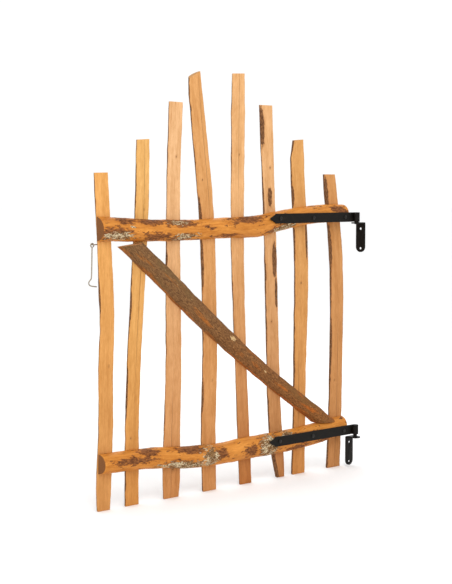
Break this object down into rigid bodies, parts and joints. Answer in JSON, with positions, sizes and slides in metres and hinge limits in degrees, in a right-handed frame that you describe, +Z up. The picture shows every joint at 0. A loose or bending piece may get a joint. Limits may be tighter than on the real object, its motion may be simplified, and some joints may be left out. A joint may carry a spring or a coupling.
{
  "type": "garden gate",
  "caption": "Rustic arched picket gate of split hazel with half-round rails and brace, black strap hinges on loose pintles and a wire cabin hook.",
  "frame": {"origin": "on the ground under the middle of the gate's box", "axes": "+Z up along the pickets, +X towards the hinge side, -Y towards the side with the rails and hinges"},
  "size_m": [1.1208, 0.0856, 1.3162],
  "materials": {
    "sawn_picket": "sawn, bark left on the back",
    "peeled_rail": "peeled and stained, with patches of bark",
    "bark_brace": "bark left on",
    "zinc_screw": "zinc plated",
    "black_iron": "black powder coat",
    "zinc_wire": "galvanised wire"
  },
  "bodies": {
    "lower_pintle": {"lower_pintle_plate": "black_iron", "lower_pintle_pin": "black_iron"},
    "leaf": {"picket_1": "sawn_picket", "picket_2": "sawn_picket", "picket_3": "sawn_picket", "picket_4": "sawn_picket", "picket_5": "sawn_picket", "picket_6": "sawn_picket", "picket_7": "sawn_picket", "picket_8": "sawn_picket", "upper_rail": "peeled_rail", "lower_rail": "peeled_rail", "brace": "bark_brace", "upper_rail_screw_1": "zinc_screw", "lower_rail_screw_1": "zinc_screw", "upper_rail_screw_2": "zinc_screw", "lower_rail_screw_2": "zinc_screw", "upper_rail_screw_3": "zinc_screw", "lower_rail_screw_3": "zinc_screw", "upper_rail_screw_4": "zinc_screw", "lower_rail_screw_4": "zinc_screw", "upper_rail_screw_5": "zinc_screw", "lower_rail_screw_5": "zinc_screw", "upper_rail_screw_6": "zinc_screw", "lower_rail_screw_6": "zinc_screw", "upper_rail_screw_7": "zinc_screw", "lower_rail_screw_7": "zinc_screw", "upper_rail_screw_8": "zinc_screw", "lower_rail_screw_8": "zinc_screw", "brace_screw_2": "zinc_screw", "brace_screw_3": "zinc_screw", "brace_screw_4": "zinc_screw", "brace_screw_5": "zinc_screw", "brace_screw_6": "zinc_screw", "brace_screw_7": "zinc_screw", "upper_strap": "black_iron", "lower_strap": "black_iron", "upper_strap_screw_1": "black_iron", "upper_strap_screw_2": "black_iron", "upper_strap_screw_3": "black_iron", "lower_strap_screw_1": "black_iron", "lower_strap_screw_2": "black_iron", "lower_strap_screw_3": "black_iron", "hook_screw_eye": "zinc_wire"},
    "upper_pintle": {"upper_pintle_plate": "black_iron", "upper_pintle_pin": "black_iron"},
    "hook": {"cabin_hook": "zinc_wire"}
  },
  "joints": [
    {"name": "gate_swing", "type": "hinge", "parent": "lower_pintle", "child": "leaf", "pos_m": [0.52747, -0.0253, 0.129], "axis": [0, 0, 1], "range_deg": [0, 180]},
    {"name": "upper_pintle_swivel", "type": "hinge", "parent": "leaf", "child": "upper_pintle", "pos_m": [0.52747, -0.0253, 0.856], "axis": [0, 0, 1], "range_deg": [-102, 78]},
    {"name": "hook_swing", "type": "hinge", "parent": "leaf", "child": "hook", "pos_m": [-0.54553, 0.0278, 0.79], "axis": [0, 1, 0], "range_deg": [0, 140]}
  ]
}
